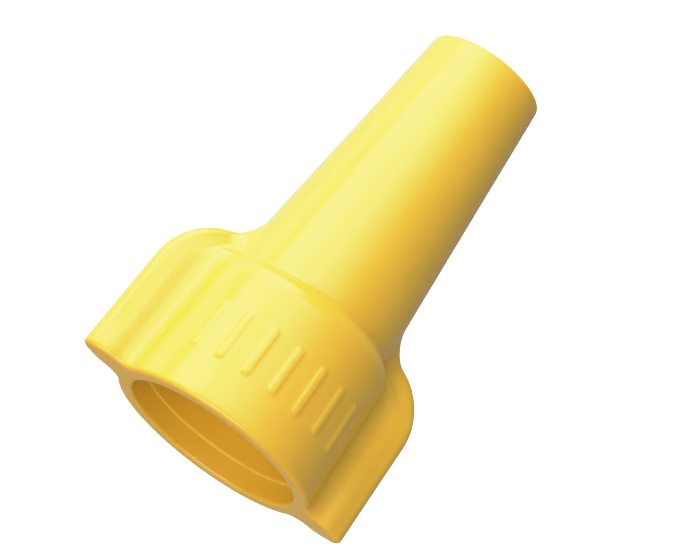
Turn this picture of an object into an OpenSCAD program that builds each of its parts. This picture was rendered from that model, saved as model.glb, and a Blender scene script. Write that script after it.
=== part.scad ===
// Winged twist-on wire connector, in millimetres.
// The shell stands mouth down: the origin is the centre of the mouth's rim, +Z runs up the
// connector's axis to the closed end of the crown, and the two wings lie along +X and -X.

/* [Body] */
// Length from the rim to the closed end
body_l = 28.4; // [28.1:0.1:29]
// Outside diameter of the skirt at the rim
skirt_d = 13.6; // [13.4:0.1:14]
// Draft of the skirt's outside wall, in degrees
skirt_draft = 3.3; // [2.6:0.1:3.8]
// Height at which the skirt wall starts to turn in to the shoulder
skirt_h = 8.2; // [8:0.1:8.6]
// Convex radius of the shoulder
shoulder_r = 1.6; // [1.2:0.1:2]
// Concave radius between the shoulder and the crown
neck_r = 0.5; // [0.4:0.1:1]
// Diameter that the crown's taper reaches at the closed end
crown_end_d = 7.55; // [7.3:0.05:7.8]
// Taper of the crown to each side, in degrees
crown_taper = 5; // [4.8:0.1:5.4]
// Radius around the closed end
crown_edge_r = 0.25; // [0.15:0.05:0.6]
// Radius on the outside edge of the rim
rim_edge_r = 0.3; // [0.1:0.05:0.5]

/* [Inside] */
// Diameter of the mouth at the rim
mouth_d = 11.45; // [11.3:0.05:11.6]
// Depth of the mouth, up to the small step
mouth_h = 1.35; // [1:0.05:2]
// Diameter of the straight bore above the step
bore_d = 11.1; // [10.9:0.1:11.1]
// Height at which the straight bore ends and the lead-in cone starts
bore_top = 7; // [6:0.1:7.2]
// Wall of the crown around the spring
crown_wall = 0.95; // [0.8:0.05:1.05]
// Thickness of the closed end
end_wall = 1.2; // [0.9:0.1:1.5]
// Number of ribs that grip the spring
rib_count = 6; // [4:1:8]
// Width of each rib
rib_w = 0.6; // [0.4:0.1:0.8]
// Height of each rib
rib_h = 0.1; // [0.05:0.05:0.15]

/* [Wings] */
// Span over both wing tips at the rim
wing_span = 19.1; // [18.6:0.1:19.6]
// Draft of the wing's outer edge, in degrees
wing_draft = 2.2; // [1:0.1:3]
// Height of the wing's top
wing_top = 11; // [10.7:0.1:11.2]
// Radius of the wing's upper corner
wing_corner_r = 4.2; // [3.6:0.1:4.4]
// Thickness of the wing near its root, at the rim
wing_root_t = 2.5; // [2.2:0.1:2.8]
// Thickness of the wing at its round tip, at the rim
wing_tip_t = 1.7; // [1.5:0.1:2]
// Thickness of the wing at its top
wing_top_t = 1.4; // [1.2:0.1:1.6]
// Radius of the fillet between a wing and the skirt
web_r = 1.1; // [0.8:0.1:1.5]
// Radius of the fillet between a wing's top and the crown
gusset_r = 2.2; // [1.6:0.1:2.6]

/* [Grip bars] */
// Number of raised bars on each side of the skirt
bar_count = 7; // [3:1:7]
// Angle between neighbouring bars
bar_step = 16; // [10:1:16]
// Length of each bar
bar_l = 3.4; // [2:0.1:4]
// Width of each bar
bar_w = 0.6; // [0.4:0.1:0.8]
// Height of each bar above the wall
bar_h = 0.08; // [0.05:0.01:0.2]
// Height of the bars' middle above the rim
bar_z = 4.4; // [3.5:0.1:5]

/* [Spring] */
// Width of the square wire
wire_w = 0.9; // [0.7:0.05:0.9]
// Turns of the spring
spring_turns = 12.5; // [9:0.5:12.5]
// Height of the middle of the spring's first turn
spring_z = 9.4; // [9.3:0.1:9.5]
// Rise of each turn
spring_pitch = 1.34; // [1.34:0.01:1.36]

/* [Hidden] */

$fn = 96;
SPRING_SEGMENTS = 32;   // flats in each turn of the spring
SPRING_GAP = 0.02;      // between the wire's outer corners and the ribs
MOUTH_EDGE_R = 0.2;     // round on the inside edge of the rim
MOUTH_DRAFT = 2;        // draft of the mouth's wall, in degrees
STEP_H = 0.1;           // height of the small step's slope
LEAD_H = 1.6;           // height of the lead-in cone below the spring
ARC_STEPS = 10;         // segments in each drawn arc
CUT = 1;                // how far a cutting shape runs past what it cuts
BITE = 0.1;             // how far an added shape runs into what it joins
OVERLAP = 0.03;         // how far a fillet's arc dips below the round wall that it meets
SKIRT_WEB_REACH = 1;    // how far the skirt's fillets reach beyond the skirt's radius
SKIRT_CAP_R = 3.2;      // round on the top of the skirt's fillets
CROWN_WEB_REACH = 0.1;  // how far the crown's fillets reach beyond the skirt's radius
CROWN_CAP_R = 2;        // round on the top of the crown's fillets

skirt_r = skirt_d / 2;
mouth_r = mouth_d / 2;
mouth_end_r = mouth_r - mouth_h * tan(MOUTH_DRAFT);
bore_r = bore_d / 2;
wing_x = wing_span / 2;
chamber_z = bore_top + LEAD_H;
chamber_end = body_l - end_wall;
wire_corner = wire_w / sqrt(2);   // from the wire's middle to a corner of its square

// Outside radius of the skirt and of the crown at height z, on their straight walls.
function skirt_at(z) = skirt_r - z * tan(skirt_draft);
function crown_at(z) = crown_end_d / 2 + (body_l - z) * tan(crown_taper);
function chamber_at(z) = crown_at(z) - crown_wall / cos(crown_taper);
function direction(angle) = [cos(angle), sin(angle)];
function arc(centre, r, from, to) =
    [for (i = [0:ARC_STEPS]) centre + r * direction(from + (to - from) * i / ARC_STEPS)];

// Middle of a circle at a given distance from point c, on the line from a along the unit vector d.
function first_at_distance(c, distance, a, d) =
    let (w = a - c, b = w * d) a + (-b - sqrt(b * b - w * w + distance * distance)) * d;

shoulder_c = [skirt_at(skirt_h), skirt_h] - shoulder_r * direction(skirt_draft);
neck_start = [crown_at(body_l), body_l] + neck_r * direction(crown_taper);
neck_c = first_at_distance(shoulder_c, shoulder_r + neck_r, neck_start, -direction(crown_taper + 90));
shoulder_turn = atan2(neck_c.y - shoulder_c.y, neck_c.x - shoulder_c.x);
crown_edge_c = [crown_at(body_l - crown_edge_r) - crown_edge_r / cos(crown_taper), body_l - crown_edge_r];
rim_edge_c = [skirt_at(rim_edge_r) - rim_edge_r / cos(skirt_draft), rim_edge_r];

wing_edge_slope = tan(wing_draft);
corner_z = wing_top - wing_corner_r;
corner_x = wing_x - corner_z * wing_edge_slope - wing_corner_r;
gusset_start = [crown_at(body_l), body_l] + gusset_r * direction(crown_taper);
gusset_c = first_at_distance([corner_x, corner_z], wing_corner_r + gusset_r, gusset_start,
                             -direction(crown_taper + 90));
gusset_turn = atan2(gusset_c.y - corner_z, gusset_c.x - corner_x);

module body_outside() {
    rotate_extrude() polygon(concat(
        [[0, 0]],
        arc(rim_edge_c, rim_edge_r, -90, skirt_draft),
        arc(shoulder_c, shoulder_r, skirt_draft, shoulder_turn),
        arc(neck_c, neck_r, shoulder_turn + 180, crown_taper + 180),
        arc(crown_edge_c, crown_edge_r, crown_taper, 90),
        [[0, body_l]]));
}

// Solid of the hollow: mouth, step, straight bore, lead-in cone and tapered spring chamber.
module hollow() {
    rotate_extrude() polygon(concat(
        [[0, -CUT], [mouth_r + MOUTH_EDGE_R, -CUT]],
        arc([mouth_r + MOUTH_EDGE_R, MOUTH_EDGE_R], MOUTH_EDGE_R, 270, 180),
        [[mouth_end_r, mouth_h], [bore_r, mouth_h + STEP_H], [bore_r, bore_top],
         [chamber_at(chamber_z), chamber_z], [chamber_at(chamber_end), chamber_end], [0, chamber_end]]));
}

// One rib is a long block whose inner face is rib_h inside the chamber's wall.
module rib() {
    translate([chamber_at(chamber_z), 0, chamber_z])
        rotate([0, -crown_taper, 0])
            translate([-rib_h, -rib_w / 2, -BITE])
                cube([rib_h + crown_wall / 2, rib_w, (chamber_end - chamber_z) / cos(crown_taper) + CUT]);
}

// Flat blade of a wing, round along its outer edge.
module blade() {
    root_x = bore_r - CUT;
    root_r = wing_root_t / 2;
    top_r = wing_top_t / 2;
    hull() {
        translate([root_x, -root_r, 0]) cube([BITE, wing_root_t, BITE]);
        translate([root_x, -top_r, wing_top - top_r]) cube([BITE, wing_top_t, BITE]);
        translate([skirt_r + web_r / 2, 0, 0]) cylinder(r = root_r, h = BITE, $fn = 32);
        translate([wing_x - wing_tip_t / 2, 0, 0]) cylinder(r = wing_tip_t / 2, h = BITE, $fn = 32);
        for (angle = [0:9:90])
            translate([corner_x + (wing_corner_r - top_r) * cos(angle), 0,
                       corner_z + (wing_corner_r - top_r) * sin(angle)])
                sphere(r = top_r, $fn = 24);
    }
}

// Fillets of radius fillet_r that join a blade's two flanks to a tapered round body between the
// heights z0 and z1. The body's radius is r0 at z0 and r1 at z1, and the flanks are 2 * flank apart.
// The fillets reach out to the radius end_r, where a corner of radius cap_r rounds off their top.
module web(z0, z1, r0, r1, flank, fillet_r, end_r, cap_r) {
    reach = r0 + fillet_r - OVERLAP;
    turn = asin((flank + fillet_r) / reach);
    half = concat([(r0 - 4 * BITE) * direction(turn)],
                  arc(reach * direction(turn), fillet_r, turn + 180, 268),
                  [[reach * cos(turn) + BITE, 0]]);
    last = len(half) - 2;
    intersection() {
        translate([0, 0, z0])
            linear_extrude(height = z1 - z0, scale = r1 / r0)
                polygon(concat(half, [for (i = [last:-1:0]) [half[i].x, -half[i].y]]));
        rotate_extrude()
            polygon(concat([[0, 0], [end_r, 0]], arc([end_r, z1] - [cap_r, cap_r], cap_r, 0, 90), [[0, z1]]));
    }
}

// Fillet between the blade's round upper corner and the crown, seen from the front.
module gusset() {
    outline = arc(gusset_c, gusset_r, 180 + crown_taper, 180 + gusset_turn);
    rotate([90, 0, 0])
        linear_extrude(height = wing_top_t - 4 * BITE, center = true)
            polygon(concat([[bore_r - CUT, corner_z], [bore_r - CUT, gusset_c.y]],
                           outline,
                           [[outline[ARC_STEPS].x, corner_z]]));
}

module wing() {
    crown_z = skirt_h;
    crown_top = wing_top - BITE;
    skirt_top = skirt_h + shoulder_r;
    blade();
    web(0, skirt_top, skirt_r, skirt_at(skirt_top), wing_root_t / 2, web_r,
        skirt_r + SKIRT_WEB_REACH, SKIRT_CAP_R);
    web(crown_z, crown_top, crown_at(crown_z), crown_at(crown_top), wing_top_t / 2 + BITE, web_r,
        skirt_r + CROWN_WEB_REACH, CROWN_CAP_R);
    gusset();
}

// A plain raised bar with round ends, laid against the skirt's drafted wall.
module grip_bar() {
    straight = bar_l - bar_w;
    translate([skirt_at(bar_z), 0, bar_z])
        rotate([0, 90 - skirt_draft, 0])
            translate([0, 0, -2 * BITE])
                linear_extrude(height = bar_h + 2 * BITE) {
                    square([straight, bar_w], center = true);
                    for (side = [-1, 1]) translate([side * straight / 2, 0]) circle(d = bar_w, $fn = 24);
                }
}

module shell() {
    color("#f2cf3a") difference() {
        union() {
            body_outside();
            for (side = [0, 180]) rotate(side) {
                wing();
                for (i = [0:bar_count - 1])
                    rotate((i - (bar_count - 1) / 2) * bar_step - 90) grip_bar();
            }
        }
        difference() {
            hollow();
            for (i = [0:rib_count - 1]) rotate((i + 0.5) * 360 / rib_count) rib();
        }
    }
}

// Square wire wound corner inwards on a cone that follows the chamber's ribs.
module spring() {
    steps = floor(spring_turns * SPRING_SEGMENTS);
    points = [for (i = [0:steps], k = [0:3])
        let (turn = i / SPRING_SEGMENTS,
             z = spring_z + turn * spring_pitch,
             r = chamber_at(z) - rib_h - SPRING_GAP - wire_corner + wire_corner * cos(90 * k))
        [r * cos(360 * turn), r * sin(360 * turn), z + wire_corner * sin(90 * k)]];
    sides = [for (i = [0:steps - 1], k = [0:3])
        let (a = 4 * i + k, b = 4 * i + (k + 1) % 4) [a, b, b + 4, a + 4]];
    color("#c9ccd0")
        polyhedron(points, concat([[3, 2, 1, 0]], sides, [[for (k = [0:3]) 4 * steps + k]]), convexity = 8);
}

shell();
spring();
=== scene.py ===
"""Looks of a winged twist-on wire connector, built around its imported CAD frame.

The frame has its origin at the middle of the mouth's rim, +Z up the connector's axis to the
closed end, the wings along X and the front towards -Y. Lengths are in metres, angles in degrees.
"""
import math

import bpy
import numpy as np
from mathutils import Matrix, Vector


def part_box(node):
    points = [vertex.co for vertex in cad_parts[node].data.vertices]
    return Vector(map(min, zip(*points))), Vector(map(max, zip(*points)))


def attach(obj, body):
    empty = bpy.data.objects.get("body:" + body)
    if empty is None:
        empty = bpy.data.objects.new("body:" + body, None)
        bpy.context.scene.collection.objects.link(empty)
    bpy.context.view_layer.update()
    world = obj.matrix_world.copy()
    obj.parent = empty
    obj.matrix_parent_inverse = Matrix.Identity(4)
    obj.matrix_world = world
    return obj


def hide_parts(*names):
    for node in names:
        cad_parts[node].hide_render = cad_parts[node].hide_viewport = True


MM = 0.001

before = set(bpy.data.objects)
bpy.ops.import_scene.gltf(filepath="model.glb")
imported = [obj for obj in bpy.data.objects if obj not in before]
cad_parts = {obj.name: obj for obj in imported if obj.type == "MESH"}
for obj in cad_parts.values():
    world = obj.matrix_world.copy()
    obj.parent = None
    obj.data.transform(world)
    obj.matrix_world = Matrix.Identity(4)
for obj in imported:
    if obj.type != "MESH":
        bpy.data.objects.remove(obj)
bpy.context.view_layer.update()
shell_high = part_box("shell")[1]

# ---- the connector: its driving sizes are the same as the CAD model's --------------------------

LENGTH = shell_high.z
SKIRT_R = 6.8 * MM
SKIRT_DRAFT = 3.3
SKIRT_H = 8.2 * MM
SHOULDER_R = 1.6 * MM
NECK_R = 0.5 * MM
CROWN_END_R = 3.775 * MM
CROWN_TAPER = 5
CROWN_EDGE_R = 0.25 * MM
RIM_EDGE_R = 0.3 * MM

# The moulding gate's mark on the closed end: its flat bottom, its outer edge and its depth.
GATE_R = 0.7 * MM
GATE_EDGE_R = 0.84 * MM
GATE_DEPTH = 0.12 * MM

MOUTH_R = 5.725 * MM
MOUTH_DRAFT = 2
MOUTH_H = 1.35 * MM
MOUTH_EDGE_R = 0.2 * MM
STEP_H = 0.1 * MM
STEP_EDGE_R = 0.04 * MM
BORE_R = 5.55 * MM
BORE_TOP = 7 * MM
BORE_TOP_R = 0.8 * MM
LEAD_TOP = 8.6 * MM
CHAMBER_EDGE_R = 0.2 * MM
CROWN_WALL = 0.95 * MM
END_WALL = 1.2 * MM

RIB_COUNT = 6
RIB_W = 0.6 * MM
RIB_H = 0.1 * MM
RIB_FOOT_HALF = 0.6 * RIB_W
RIB_CREST_HALF = 0.45 * RIB_W

# A wing is thinner at its round outer edge than at EDGE_TO_ROOT further in, and it thins upwards:
# each thinning is the loss of half thickness for each unit of height.
WING_X = shell_high.x
WING_DRAFT = 2.2
WING_TOP = 11 * MM
WING_CORNER_R = 4.2 * MM
WING_ROOT_HALF = 1.25 * MM
WING_EDGE_HALF = 0.85 * MM
ROOT_THINNING = 0.045
EDGE_THINNING = 0.02
EDGE_TO_ROOT = 0.8 * MM
WEB_R = 1.1 * MM
GUSSET_R = 2.2 * MM

# The grip bars' flanks fall over BAR_EDGE, of which BAR_FLARE lies outside the bar's own width.
BAR_COUNT = 7
BAR_STEP = 16
BAR_L = 3.4 * MM
BAR_W = 0.6 * MM
BAR_H = 0.08 * MM
BAR_Z = 4.4 * MM
BAR_EDGE = 0.3 * MM
BAR_FLARE = 0.3

WIRE_W = 0.9 * MM
WIRE_EDGE_R = 0.09 * MM
WIRE_END_SCALE = 0.86
SPRING_TURNS = 12.5
SPRING_Z = 9.4 * MM
SPRING_PITCH = 1.34 * MM
SPRING_GAP = 0.02 * MM

# ---- how finely the meshes are drawn -----------------------------------------------------------

RAY_REACH = 14 * MM
RAY_HALVINGS = 40
CORNER_STEPS = 6
INNER_CORNER_STEPS = 5

# Columns round the axis: the wing's zone follows its outline, and the rest is even, with extra
# columns at these multiples of a bar's and a rib's half width.
WING_ZONE = 24
WING_COLUMNS = 40
WING_SAMPLES = 1500
COLUMN_STEP = 2.2
COLUMN_MERGE = 0.3
BAR_COLUMNS = (0, 0.45, 0.7, 0.85, 1.0, 1.15)
RIB_COLUMNS = (0.8, 1.2)

# Level rows: the rim's round edge, below the bars, at each end of the bars and along them.
RIM_EDGE_ROWS = 7
FIRST_LEVEL = 0.8 * MM
LOW_ROWS = 5
BAR_END_REACH = 0.48 * MM
BAR_END_ROWS = 11
BAR_ROWS = 6

# Above them, rows that fan out from a point inside the skirt, over the shoulder and the wings.
FAN_PIVOT = (3.0 * MM, 6.5 * MM)
FAN_END = 70
FAN_ROWS = 90

CHAMBER_ROWS = 9
RIM_ROWS = 6
SPRING_STEPS = 56
WIRE_EDGE_TILTS = (-45, -15, 15, 45)

# ---- materials' colours and grain --------------------------------------------------------------

PLASTIC_DEEP = (0.80, 0.485, 0.032)
PLASTIC_PALE = (0.82, 0.505, 0.044)
PLASTIC_ROUGHNESS = (0.22, 0.28)
STEEL_DARK = (0.62, 0.63, 0.65)
STEEL_PALE = (0.78, 0.78, 0.77)
STEEL_ROUGHNESS = (0.22, 0.38)

# Noise scales, in features for each metre, and the part of a noise's range that is used.
CLOUD_SCALE = 160
FLOW_SCALE = 420
GRAIN_SCALE = 2600
BLOOM_SCALE = 900
SPREAD_FROM = (0.3, 0.7)
BLEND_FROM = (0.35, 0.65)

# How often the drawing lines change along the whole wire and around it.
LINES_ALONG = 60
LINES_AROUND = 90

# Depth and strength of each bump.
FLOW_BUMP = (0.03 * MM, 0.25)
GRAIN_BUMP = (0.006 * MM, 0.5)
LINES_BUMP = (0.01 * MM, 0.5)

# ---- stage, lights and camera ------------------------------------------------------------------

FLOOR_HALF = 0.9
FLOOR_FADE = (0.1, 0.3)
FLOOR_GAP = 0.02 * MM
FLOOR_COLOUR = (0.82, 0.82, 0.81, 1)
BACKDROP_COLOUR = (2.4, 2.4, 2.37, 1)
AMBIENT_COLOUR = (1, 1, 1, 1)
AMBIENT_STRENGTH = 0.34

# The key light is even up to KEY_END round the axis, then fades out over strips of equal width.
SOFTBOX_DISTANCE = 0.30
KEY = 4.5
KEY_END = -132
KEY_FADE_STEPS = 5
KEY_FADE_WIDTH = 12
COOL = (0.93, 1.0, 0.97)
WARM = (1.0, 0.95, 0.88)

# Scene brightness and what it is shown as; below the first point both are the same.
HIGHLIGHT_CURVE = ((0.4, 0.4), (0.82, 0.82), (0.95, 0.87), (1.2, 0.89), (1.7, 0.91), (2.4, 0.995))

CAMERA_AT = Vector((-30.77, -211.61, -53.17)) * MM
CAMERA_TURN = 8.48
CAMERA_LIFT = 17.19
CAMERA_ROLL = -36.68
CAMERA_SENSOR = 36
CAMERA_LENS = 195.71


# ---- profiles ----------------------------------------------------------------------------------

def direction(angle):
    """Unit vector at an angle in degrees."""
    return np.array([math.cos(math.radians(angle)), math.sin(math.radians(angle))])


def slope(angle):
    """Sideways run for each unit of length, for a draft or taper in degrees."""
    return math.tan(math.radians(angle))


def skirt_at(z):
    """Outside radius of the skirt's drafted wall at height z."""
    return SKIRT_R - z * slope(SKIRT_DRAFT)


def crown_at(z):
    """Outside radius of the crown's tapered wall at height z."""
    return CROWN_END_R + (LENGTH - z) * slope(CROWN_TAPER)


def chamber_at(z):
    """Inside radius of the crown, between the ribs, at height z."""
    return crown_at(z) - CROWN_WALL / math.cos(math.radians(CROWN_TAPER))


SHOULDER_C = np.array([skirt_at(SKIRT_H), SKIRT_H]) - SHOULDER_R * direction(SKIRT_DRAFT)
CORNER_Z = WING_TOP - WING_CORNER_R
CORNER_C = np.array([WING_X - CORNER_Z * slope(WING_DRAFT) - WING_CORNER_R, CORNER_Z])


# ---- the shell's outer form, as signed distances with their normals ---------------------------

def corner_field(u, z, centre, radius, draft):
    """A region with a drafted side wall and a flat top, joined by a round corner."""
    du, dz = u - centre[0], z - centre[1]
    wall_u, wall_z = direction(draft)
    wall = du * wall_u + dz * wall_z - radius
    top = dz - radius
    reach = np.maximum(np.hypot(du, dz), 1e-9)
    beside_wall = dz * wall_u < du * wall_z
    under_top = du < 0
    on_wall = beside_wall & (~under_top | (wall > top))
    on_top = under_top & ~on_wall
    distance = np.where(on_wall, wall, np.where(on_top, top, reach - radius))
    normal_u = np.where(on_wall, wall_u, np.where(on_top, 0, du / reach))
    normal_z = np.where(on_wall, wall_z, np.where(on_top, 1, dz / reach))
    return distance, np.stack([normal_u, normal_z], -1)


def join(field_a, field_b, radius):
    """Joins two solids with the fillet that a ball of this radius leaves as it rolls along both."""
    (da, na), (db, nb) = field_a, field_b
    cosine = np.clip(np.sum(na * nb, -1), -0.999, 0.999)
    ua, ub = radius - da, radius - db
    wa = (ua - cosine * ub) / (1 - cosine ** 2)
    wb = (ub - cosine * ua) / (1 - cosine ** 2)
    reach = np.sqrt(np.maximum(wa ** 2 + wb ** 2 + 2 * wa * wb * cosine, 1e-18))
    fillet = (wa > 0) & (wb > 0)
    beyond = (wa <= 0) & (wb <= 0)
    use_a = np.where(beyond, da < db, wb <= 0)
    distance = np.where(fillet, radius - reach, np.where(use_a, da, db))
    blended = (wa[..., None] * na + wb[..., None] * nb) / reach[..., None]
    normal = np.where(fillet[..., None], blended, np.where(use_a[..., None], na, nb))
    return distance, normal


def body_field(x, y, z):
    """Skirt, shoulder, neck and crown, turned about the axis."""
    rho = np.maximum(np.hypot(x, y), 1e-9)
    skirt = corner_field(rho, z, SHOULDER_C, SHOULDER_R, SKIRT_DRAFT)
    crown_n = direction(CROWN_TAPER)
    crown_d = (rho - CROWN_END_R) * crown_n[0] + (z - LENGTH) * crown_n[1]
    crown = crown_d, np.broadcast_to(crown_n, rho.shape + (2,))
    distance, normal = join(skirt, crown, NECK_R)
    flat = normal[..., 0]
    return distance, np.stack([flat * x / rho, flat * y / rho, normal[..., 1]], -1)


def wing_field(x, y, z):
    """Both wings: a blade that thins upwards and towards its round outer edge."""
    outline, outline_n = corner_field(np.abs(x), z, CORNER_C, WING_CORNER_R, WING_DRAFT)
    depth, side = -outline, np.abs(y)
    edge_r = WING_EDGE_HALF - EDGE_THINNING * z
    root_r = WING_ROOT_HALF - ROOT_THINNING * z
    sine = (root_r - edge_r) / EDGE_TO_ROOT
    cosine = np.sqrt(1 - sine ** 2)
    across = depth - edge_r
    along = across * cosine + side * sine
    edge_reach = np.maximum(np.hypot(across, side), 1e-9)
    root_reach = np.maximum(np.hypot(across - EDGE_TO_ROOT, side), 1e-9)
    cases = [along < 0, along < EDGE_TO_ROOT * cosine, across < EDGE_TO_ROOT]
    distance = np.select(cases, [edge_reach - edge_r, side * cosine - across * sine - edge_r,
                                 root_reach - root_r], side - root_r)
    inward = np.select(cases, [across / edge_reach, -sine, (across - EDGE_TO_ROOT) / root_reach], 0)
    sideways = np.select(cases, [side / edge_reach, cosine, side / root_reach], 1)
    normal = np.stack([-inward * outline_n[..., 0] * np.sign(x), sideways * np.sign(y),
                       -inward * outline_n[..., 1]], -1)
    return distance, normal


def skin_distance(x, y, z):
    """Distance to the whole outer form. The fillet is wide on the flanks and narrow on top."""
    wing = wing_field(x, y, z)
    flank_r = WEB_R + ROOT_THINNING * z
    radius = GUSSET_R + (flank_r - GUSSET_R) * wing[1][..., 1] ** 2
    return join(body_field(x, y, z), wing, radius)[0]


def cast(start, heading, inset, angles):
    """Where rays in the half-planes at these angles leave the outer form, by halving an interval.

    start and heading hold one (distance from the axis, height) pair for each row of rays, and
    inset holds how deep below the outer form each row stops.
    """
    cosines, sines = np.cos(angles)[None, :], np.sin(angles)[None, :]
    low = np.zeros((len(start), len(angles)))
    high = np.full_like(low, RAY_REACH)
    for _ in range(RAY_HALVINGS):
        middle = (low + high) / 2
        rho = start[:, :1] + heading[:, :1] * middle
        z = start[:, 1:] + heading[:, 1:] * middle
        inside = skin_distance(rho * cosines, rho * sines, z) < -inset[:, None]
        low = np.where(inside, middle, low)
        high = np.where(inside, high, middle)
    return start[:, :1] + heading[:, :1] * low, start[:, 1:] + heading[:, 1:] * low


# ---- the shell's mesh: rings of points about the axis ------------------------------------------

def quarter_angles():
    """Columns of one quarter turn: even along the wing's outline, then dense at bars and ribs."""
    fine = np.radians(np.linspace(0, WING_ZONE, WING_SAMPLES))
    rho = cast(np.zeros((1, 2)), np.array([[1.0, 0.0]]), np.zeros(1), fine)[0][0]
    steps = np.hypot(np.diff(rho * np.cos(fine)), np.diff(rho * np.sin(fine)))
    travel = np.concatenate([[0], np.cumsum(steps)])
    wing = np.degrees(np.interp(np.linspace(0, travel[-1], WING_COLUMNS), travel, fine))
    bar_edges = np.array(BAR_COLUMNS) * BAR_W / 2 / skirt_at(BAR_Z)
    rib_edges = np.array(RIB_COLUMNS) * RIB_W / 2 / chamber_at(LEAD_TOP)
    wanted = []
    for i in range(BAR_COUNT // 2 + 1):
        wanted += [90 - i * BAR_STEP + side * np.degrees(e) for side in (-1, 1) for e in bar_edges]
    for centre in (90, 90 - 360 / RIB_COUNT):
        wanted += [centre + side * np.degrees(e) for side in (-1, 1) for e in rib_edges]
    keys = list(wing)
    for angle in sorted(wanted) + [90]:
        if keys[-1] + COLUMN_MERGE < angle <= 90:
            keys.append(angle)
    keys[-1] = 90
    columns = []
    for a, b in zip(keys, keys[1:]):
        count = math.ceil((b - a) / COLUMN_STEP)
        columns += [a + (b - a) * i / count for i in range(count)]
    return np.array(columns)


def all_angles():
    """The quarter's columns mirrored round the full turn, in radians."""
    quarter = quarter_angles()
    half = np.concatenate([quarter, [90], 180 - quarter[:0:-1]])
    return np.radians(np.concatenate([half, 180 + half]))


def smooth(edge_0, edge_1, value):
    """Rises smoothly from 0 at one edge to 1 at the other."""
    t = np.clip((value - edge_0) / (edge_1 - edge_0), 0, 1)
    return t * t * (3 - 2 * t)


def bar_height(rho, angles, z):
    """Height of the raised grip bars, which have round ends and soft edges."""
    turn = np.degrees(angles)[None, :]
    front = np.abs(np.mod(turn, 180) - 90)
    nearest = np.clip(np.round(front / BAR_STEP), 0, BAR_COUNT // 2) * BAR_STEP
    across = rho * np.radians(front - nearest)
    along = np.maximum(np.abs(z - BAR_Z) - (BAR_L - BAR_W) / 2, 0)
    foot = BAR_W / 2 + BAR_FLARE * BAR_EDGE
    return BAR_H * smooth(foot, foot - BAR_EDGE, np.hypot(across, along))


def skirt_rows():
    """Heights and insets of the level rows, from the rim's round edge up to the fan."""
    turns = np.radians(np.linspace(0, 90, RIM_EDGE_ROWS))
    edge = RIM_EDGE_R * (1 - np.cos(turns))
    inset = RIM_EDGE_R * (1 - np.sin(turns))
    bar_low, bar_high = BAR_Z - BAR_L / 2, BAR_Z + BAR_L / 2
    end_low, end_high = bar_low + BAR_END_REACH, bar_high - BAR_END_REACH
    rise = np.concatenate([
        np.linspace(FIRST_LEVEL, bar_low - BAR_EDGE, LOW_ROWS),
        np.linspace(bar_low - BAR_EDGE / 2, end_low, BAR_END_ROWS),
        np.linspace(end_low, end_high, BAR_ROWS)[1:-1],
        np.linspace(end_high, bar_high + BAR_EDGE / 2, BAR_END_ROWS)])
    return np.concatenate([edge, rise]), np.concatenate([inset, np.zeros(len(rise))])


def round_corners(points, steps):
    """A profile through (radius, height, corner radius) points, each corner drawn as an arc."""
    almost_straight = math.radians(89.5)
    profile = [np.array(points[0][:2])]
    for before, here, after in zip(points, points[1:], points[2:]):
        corner = np.array(here[:2])
        to_before = np.array(before[:2]) - corner
        to_after = np.array(after[:2]) - corner
        to_before /= np.linalg.norm(to_before)
        to_after /= np.linalg.norm(to_after)
        half = math.acos(np.clip(to_before @ to_after, -1, 1)) / 2
        if here[2] == 0 or half > almost_straight:
            profile.append(corner)
            continue
        cut = here[2] / math.tan(half)
        bisector = (to_before + to_after) / np.linalg.norm(to_before + to_after)
        centre = corner + bisector * here[2] / math.sin(half)
        first, last = corner + to_before * cut - centre, corner + to_after * cut - centre
        turn = math.atan2(first[0] * last[1] - first[1] * last[0], first @ last)
        for i in range(steps + 1):
            c, s = math.cos(turn * i / steps), math.sin(turn * i / steps)
            turned = np.array([c * first[0] - s * first[1], s * first[0] + c * first[1]])
            profile.append(centre + turned)
    profile.append(np.array(points[-1][:2]))
    return np.array(profile)


def ring(rho, z, angles):
    """Points at these distances from the axis and heights, one for each column."""
    rho = np.broadcast_to(rho, angles.shape)
    z = np.broadcast_to(z, angles.shape)
    return np.stack([rho * np.cos(angles), rho * np.sin(angles), z], -1)


def outer_rings(angles):
    """The outer skin from the rim's edge to the start of the plain crown."""
    heights, insets = skirt_rows()
    level = np.stack([np.zeros(len(heights)), heights], -1)
    rho, z = cast(level, np.tile([1.0, 0.0], (len(heights), 1)), insets, angles)
    rho = rho + bar_height(rho, angles, z)
    lifts = np.radians(np.linspace(0, FAN_END, FAN_ROWS))
    fan = np.stack([np.cos(lifts), np.sin(lifts)], -1)
    fan_rho, fan_z = cast(np.tile(FAN_PIVOT, (FAN_ROWS, 1)), fan, np.zeros(FAN_ROWS), angles)
    return [ring(r, h, angles) for r, h in zip(np.vstack([rho, fan_rho]), np.vstack([z, fan_z]))]


def crown_rings(start_z, angles):
    """The plain crown, its round end and the shallow mark of the moulding gate."""
    gate_z = LENGTH - GATE_DEPTH
    profile = round_corners([
        (crown_at(start_z), start_z, 0),
        (crown_at((start_z + LENGTH) / 2), (start_z + LENGTH) / 2, 0),
        (CROWN_END_R, LENGTH, CROWN_EDGE_R),
        (GATE_EDGE_R, LENGTH, GATE_DEPTH / 2),
        (GATE_R, gate_z, GATE_DEPTH / 2),
        (GATE_R / 4, gate_z, 0)], CORNER_STEPS)
    return [ring(r, z, angles) for r, z in profile[1:]]


def rib_depth(rho, angles, z):
    """How far the ribs that grip the spring stand in from the chamber's wall."""
    pitch = 2 * math.pi / RIB_COUNT
    offset = np.abs(np.mod(angles, pitch) - pitch / 2)
    start = smooth(LEAD_TOP, LEAD_TOP + RIB_H, z)
    return RIB_H * start * smooth(RIB_FOOT_HALF, RIB_CREST_HALF, rho * offset)


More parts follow.
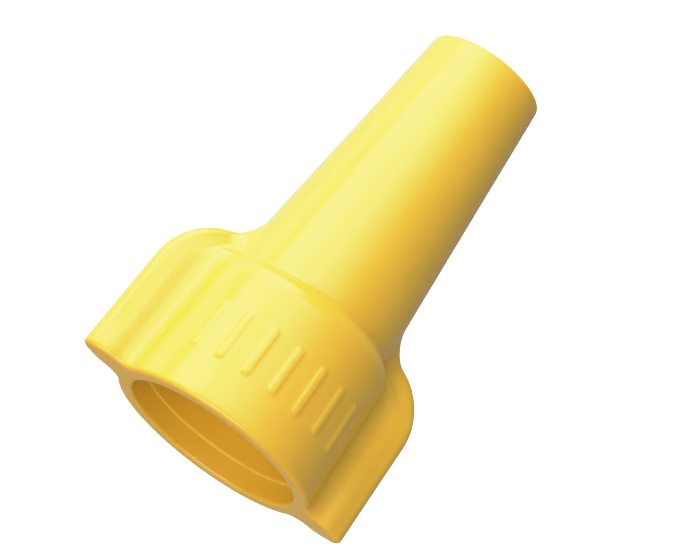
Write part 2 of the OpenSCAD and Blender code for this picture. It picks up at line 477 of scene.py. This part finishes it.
def inner_rings(angles):
    """The mouth, the small step, the straight bore, the lead-in cone and the ribbed chamber."""
    mouth_end = MOUTH_R - MOUTH_H * slope(MOUTH_DRAFT)
    end_z = LENGTH - END_WALL
    points = [
        (MOUTH_R + 2 * MOUTH_EDGE_R, 0, 0),
        (MOUTH_R, 0, MOUTH_EDGE_R),
        (mouth_end, MOUTH_H, STEP_EDGE_R),
        (BORE_R, MOUTH_H + STEP_H, STEP_EDGE_R),
        (BORE_R, BORE_TOP, BORE_TOP_R),
        (chamber_at(LEAD_TOP), LEAD_TOP, CHAMBER_EDGE_R)]
    for i in range(1, CHAMBER_ROWS):
        z = LEAD_TOP + (end_z - LEAD_TOP) * i / CHAMBER_ROWS
        points.append((chamber_at(z), z, 0))
    points += [(chamber_at(end_z), end_z, CHAMBER_EDGE_R), (GATE_R, end_z, 0)]
    profile = round_corners(points, INNER_CORNER_STEPS)[1:]
    return [ring(r - rib_depth(r, angles, z), z, angles) for r, z in profile]


def rim_rings(outer, inner):
    """The flat face of the rim, between the outer and the inner edge, without its two ends."""
    return [outer + (inner - outer) * i / RIM_ROWS for i in range(1, RIM_ROWS)]


def mesh_from_rings(name, rings, first_pole, last_pole):
    """A closed mesh through rings of equal length, with a point to close each end."""
    count = len(rings[0])
    points = np.vstack(rings + [np.array([first_pole, last_pole])])
    first, last = len(points) - 2, len(points) - 1
    step = np.arange(count)
    turn = (step + 1) % count
    faces = [(first, int(a), int(b)) for a, b in zip(step, turn)]
    for row in range(len(rings) - 1):
        low, high = row * count, (row + 1) * count
        for a, b in zip(step, turn):
            faces.append((int(low + b), int(low + a), int(high + a), int(high + b)))
    top = (len(rings) - 1) * count
    faces += [(last, int(top + b), int(top + a)) for a, b in zip(step, turn)]
    mesh = bpy.data.meshes.new(name)
    mesh.from_pydata(points.tolist(), [], faces)
    mesh.shade_smooth()
    mesh.validate()
    return mesh


def add_object(name, mesh, material):
    piece = bpy.data.objects.new(name, mesh)
    mesh.materials.append(material)
    bpy.context.scene.collection.objects.link(piece)
    return piece


def shell_mesh():
    """The whole moulded shell: down the outside from the gate mark, over the rim and up inside."""
    angles = all_angles()
    outer = outer_rings(angles)
    crown = crown_rings(outer[-1][0][2], angles)
    inner = inner_rings(angles)
    rim = rim_rings(outer[0], inner[0])
    rings = crown[::-1] + outer[::-1] + rim + inner
    gate_pole = (0, 0, LENGTH - GATE_DEPTH)
    chamber_pole = (0, 0, LENGTH - END_WALL)
    return mesh_from_rings("moulded_shell", rings, gate_pole, chamber_pole)


# ---- the spring --------------------------------------------------------------------------------

def wire_section():
    """The square wire's section, one corner pointing at the axis, with slightly round edges."""
    corner = WIRE_W / math.sqrt(2) - WIRE_EDGE_R * math.sqrt(2)
    section = []
    for quarter in (0, 90, 180, 270):
        for tilt in WIRE_EDGE_TILTS:
            section.append(corner * direction(quarter) + WIRE_EDGE_R * direction(quarter + tilt))
    return np.array(section)


def spring_rings():
    """Sections of the wire along a right-hand cone, each in the half-plane through the axis."""
    section = wire_section()
    half = WIRE_W / math.sqrt(2)
    rings = []
    steps = int(SPRING_TURNS * SPRING_STEPS)
    for i in range(steps + 1):
        turn = i / SPRING_STEPS
        z = SPRING_Z + turn * SPRING_PITCH
        rho = chamber_at(z) - RIB_H - SPRING_GAP - half
        angle = 2 * math.pi * turn
        size = WIRE_END_SCALE if i in (0, steps) else 1
        out = rho + section[:, 0] * size
        up = z + section[:, 1] * size
        rings.append(np.stack([out * math.cos(angle), out * math.sin(angle), up], -1))
    return rings


def spring_mesh():
    """The spring as one closed length of wire, with UVs for its drawing lines."""
    rings = spring_rings()
    mesh = mesh_from_rings("coiled_spring", rings, rings[0].mean(0), rings[-1].mean(0))
    add_wire_uv(mesh, len(rings), len(rings[0]))
    return mesh


def add_wire_uv(mesh, ring_count, section_count):
    """UVs that run along the wire (u) and around it (v), for the drawing lines on its faces."""
    layer = mesh.uv_layers.new(name="wire")
    for polygon in mesh.polygons:
        corners = [mesh.loops[i].vertex_index for i in polygon.loop_indices]
        around = [c % section_count for c in corners]
        wraps = max(around) - min(around) > section_count / 2
        for loop, corner, place in zip(polygon.loop_indices, corners, around):
            v = place + section_count if wraps and place == 0 else place
            layer.data[loop].uv = (corner // section_count / ring_count, v / section_count)


# ---- materials ---------------------------------------------------------------------------------

def new_material(name):
    """A material with its nodes, its links and its main shader."""
    material = bpy.data.materials.new(name)
    material.use_nodes = True
    nodes = material.node_tree.nodes
    return material, nodes, material.node_tree.links, nodes["Principled BSDF"]


def noise(nodes, links, coordinates, scale, detail):
    """A noise texture's value over the given coordinates."""
    texture = nodes.new("ShaderNodeTexNoise")
    texture.inputs["Scale"].default_value = scale
    texture.inputs["Detail"].default_value = detail
    links.new(coordinates, texture.inputs["Vector"])
    return texture.outputs["Fac"]


def spread(nodes, links, value, low, high):
    """Maps the middle of a noise to a range of values."""
    node = nodes.new("ShaderNodeMapRange")
    node.inputs["From Min"].default_value = SPREAD_FROM[0]
    node.inputs["From Max"].default_value = SPREAD_FROM[1]
    node.inputs["To Min"].default_value = low
    node.inputs["To Max"].default_value = high
    links.new(value, node.inputs["Value"])
    return node.outputs["Result"]


def bump(nodes, links, height, distance, strength, below=None):
    """Tilts the surface by a height, on top of the tilt below if there is one."""
    node = nodes.new("ShaderNodeBump")
    node.inputs["Strength"].default_value = strength
    node.inputs["Distance"].default_value = distance
    links.new(height, node.inputs["Height"])
    if below:
        links.new(below, node.inputs["Normal"])
    return node.outputs["Normal"]


def ramp(nodes, links, value, low_colour, high_colour):
    """Maps the middle of a noise to a blend of two colours."""
    node = nodes.new("ShaderNodeValToRGB")
    low, high = node.color_ramp.elements
    low.position, low.color = BLEND_FROM[0], (*low_colour, 1)
    high.position, high.color = BLEND_FROM[1], (*high_colour, 1)
    links.new(value, node.inputs["Fac"])
    return node.outputs["Color"]


def yellow_plastic():
    """Glossy moulded thermoplastic: light goes a little way in, and the gloss is a bit uneven."""
    material, nodes, links, shader = new_material("yellow_plastic")
    place = nodes.new("ShaderNodeTexCoord").outputs["Object"]
    cloud = noise(nodes, links, place, CLOUD_SCALE, 3)
    grain = noise(nodes, links, place, GRAIN_SCALE, 2)
    flow = noise(nodes, links, place, FLOW_SCALE, 2)
    links.new(ramp(nodes, links, cloud, PLASTIC_DEEP, PLASTIC_PALE), shader.inputs["Base Color"])
    links.new(spread(nodes, links, flow, *PLASTIC_ROUGHNESS), shader.inputs["Roughness"])
    skin = bump(nodes, links, flow, *FLOW_BUMP)
    links.new(bump(nodes, links, grain, *GRAIN_BUMP, skin), shader.inputs["Normal"])
    shader.inputs["IOR"].default_value = 1.5
    shader.inputs["Specular IOR Level"].default_value = 0.58
    shader.inputs["Subsurface Weight"].default_value = 0.4
    shader.inputs["Subsurface Radius"].default_value = (1.2, 0.5, 0.1)
    shader.inputs["Subsurface Scale"].default_value = 1.0 * MM
    return material


def spring_steel():
    """Zinc-plated square wire, with faint lines along it from drawing."""
    material, nodes, links, shader = new_material("spring_steel")
    mapping = nodes.new("ShaderNodeMapping")
    mapping.inputs["Scale"].default_value = (LINES_ALONG, LINES_AROUND, 1)
    links.new(nodes.new("ShaderNodeTexCoord").outputs["UV"], mapping.inputs["Vector"])
    lines = noise(nodes, links, mapping.outputs["Vector"], 1, 3)
    place = nodes.new("ShaderNodeTexCoord").outputs["Object"]
    bloom = noise(nodes, links, place, BLOOM_SCALE, 3)
    links.new(ramp(nodes, links, bloom, STEEL_DARK, STEEL_PALE), shader.inputs["Base Color"])
    links.new(spread(nodes, links, bloom, *STEEL_ROUGHNESS), shader.inputs["Roughness"])
    links.new(bump(nodes, links, lines, *LINES_BUMP), shader.inputs["Normal"])
    shader.inputs["Metallic"].default_value = 1
    return material


# ---- stage, lights and camera ------------------------------------------------------------------

def build_floor():
    """A pale floor, seen from above only. It fades out far away and doesn't light the connector."""
    mesh = bpy.data.meshes.new("floor")
    signs = ((-1, -1), (1, -1), (1, 1), (-1, 1))
    corners = [(x * FLOOR_HALF, y * FLOOR_HALF, -FLOOR_GAP) for x, y in signs]
    mesh.from_pydata(corners, [], [(0, 1, 2, 3)])
    material, nodes, links, shader = new_material("floor_paper")
    shader.inputs["Base Color"].default_value = FLOOR_COLOUR
    shader.inputs["Roughness"].default_value = 0.8
    clear = nodes.new("ShaderNodeBsdfTransparent")
    mix = nodes.new("ShaderNodeMixShader")
    reach = nodes.new("ShaderNodeVectorMath")
    reach.operation = "LENGTH"
    links.new(nodes.new("ShaderNodeTexCoord").outputs["Object"], reach.inputs[0])
    fade = nodes.new("ShaderNodeMapRange")
    fade.interpolation_type = "SMOOTHSTEP"
    fade.inputs["From Min"].default_value = FLOOR_FADE[0]
    fade.inputs["From Max"].default_value = FLOOR_FADE[1]
    links.new(reach.outputs["Value"], fade.inputs["Value"])
    either = nodes.new("ShaderNodeMath")
    either.operation = "MAXIMUM"
    links.new(nodes.new("ShaderNodeNewGeometry").outputs["Backfacing"], either.inputs[0])
    links.new(fade.outputs["Result"], either.inputs[1])
    links.new(either.outputs["Value"], mix.inputs["Fac"])
    links.new(shader.outputs["BSDF"], mix.inputs[1])
    links.new(clear.outputs["BSDF"], mix.inputs[2])
    links.new(mix.outputs["Shader"], nodes["Material Output"].inputs["Surface"])
    floor = add_object("floor", mesh, material)
    for kind in ("visible_diffuse", "visible_glossy", "visible_transmission", "visible_shadow"):
        setattr(floor, kind, False)


def build_world():
    """Shows near white to the camera, and is a dim even light to everything else."""
    world = bpy.data.worlds.new("studio")
    world.use_nodes = True
    bpy.context.scene.world = world
    nodes, links = world.node_tree.nodes, world.node_tree.links
    seen, ambient = nodes["Background"], nodes.new("ShaderNodeBackground")
    seen.inputs["Color"].default_value = BACKDROP_COLOUR
    ambient.inputs["Color"].default_value = AMBIENT_COLOUR
    ambient.inputs["Strength"].default_value = AMBIENT_STRENGTH
    mix = nodes.new("ShaderNodeMixShader")
    path = nodes.new("ShaderNodeLightPath")
    links.new(path.outputs["Is Camera Ray"], mix.inputs["Fac"])
    links.new(ambient.outputs["Background"], mix.inputs[1])
    links.new(seen.outputs["Background"], mix.inputs[2])
    links.new(mix.outputs["Shader"], nodes["World Output"].inputs["Surface"])


def softbox(name, turn, lift, brightness, colour=(1, 1, 1)):
    """A flat soft light that fills a range of directions, seen from the connector's middle.

    turn holds its two ends round the axis, counted from +X, and lift its two ends above level.
    """
    middle, half = (turn[0] + turn[1]) / 2, (turn[1] - turn[0]) / 2
    height, half_height = (lift[0] + lift[1]) / 2, (lift[1] - lift[0]) / 2
    level = math.cos(math.radians(height))
    heading = Vector((*(level * direction(middle)), math.sin(math.radians(height))))
    data = bpy.data.lights.new(name, "AREA")
    data.shape = "RECTANGLE"
    data.size = 2 * SOFTBOX_DISTANCE * slope(half) * level
    data.size_y = 2 * SOFTBOX_DISTANCE * slope(half_height)
    data.energy = brightness * math.pi * data.size * data.size_y
    data.color = colour
    light = bpy.data.objects.new(name, data)
    light.location = Vector((0, 0, LENGTH / 2)) + heading * SOFTBOX_DISTANCE
    light.rotation_euler = heading.to_track_quat("Z", "Y").to_euler()
    light.visible_camera = False
    bpy.context.scene.collection.objects.link(light)


def soften_highlights():
    """True colours up to a light grey, and a shoulder above so that pale yellow isn't clipped."""
    settings = bpy.context.scene.view_settings
    settings.view_transform = "Standard"
    settings.use_curve_mapping = True
    mapping = settings.curve_mapping
    mapping.use_clip = False
    shoulder = mapping.curves[3]  # the curve that acts on red, green and blue alike
    shoulder.points[1].location = HIGHLIGHT_CURVE[-1]
    for place in HIGHLIGHT_CURVE[:-1]:
        shoulder.points.new(*place)
    mapping.update()


def build_camera():
    """The camera stands a little to the left of the front and below the mouth, and is rolled."""
    data = bpy.data.cameras.new("camera")
    data.sensor_width = CAMERA_SENSOR
    data.lens = CAMERA_LENS
    data.clip_start = 0.01
    turn, lift, roll = (math.radians(v) for v in (CAMERA_TURN, CAMERA_LIFT, CAMERA_ROLL))
    level = math.cos(lift)
    ahead = Vector((math.sin(turn) * level, math.cos(turn) * level, math.sin(lift)))
    level_right = ahead.cross(Vector((0, 0, 1))).normalized()
    level_up = level_right.cross(ahead)
    right = level_right * math.cos(roll) - level_up * math.sin(roll)
    up = level_up * math.cos(roll) + level_right * math.sin(roll)
    camera = bpy.data.objects.new("camera", data)
    facing = Matrix((right, up, -ahead)).transposed().to_4x4()
    camera.matrix_world = Matrix.Translation(CAMERA_AT) @ facing
    bpy.context.scene.collection.objects.link(camera)
    bpy.context.scene.camera = camera


# ---- the scene ---------------------------------------------------------------------------------

build_camera()
build_world()
build_floor()
softbox("key", (-179.5, KEY_END), (8, 68), KEY, COOL)
for i in range(KEY_FADE_STEPS):
    start = KEY_END + i * KEY_FADE_WIDTH
    level = KEY * (KEY_FADE_STEPS - i - 0.5) / KEY_FADE_STEPS
    softbox("key_fade_%d" % (i + 1), (start, start + KEY_FADE_WIDTH), (12, 40), level, COOL)
softbox("left", (145, 174.5), (5, 60), 1.9, COOL)
softbox("back_left", (97, 143), (5, 50), 0.7)
softbox("below", (-150, -82), (-62, -25), 3.5, WARM)
soften_highlights()

shell = add_object("moulded_shell", shell_mesh(), yellow_plastic())
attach(shell, "root")
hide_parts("shell")

spring = add_object("coiled_spring", spring_mesh(), spring_steel())
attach(spring, "root")
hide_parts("spring")
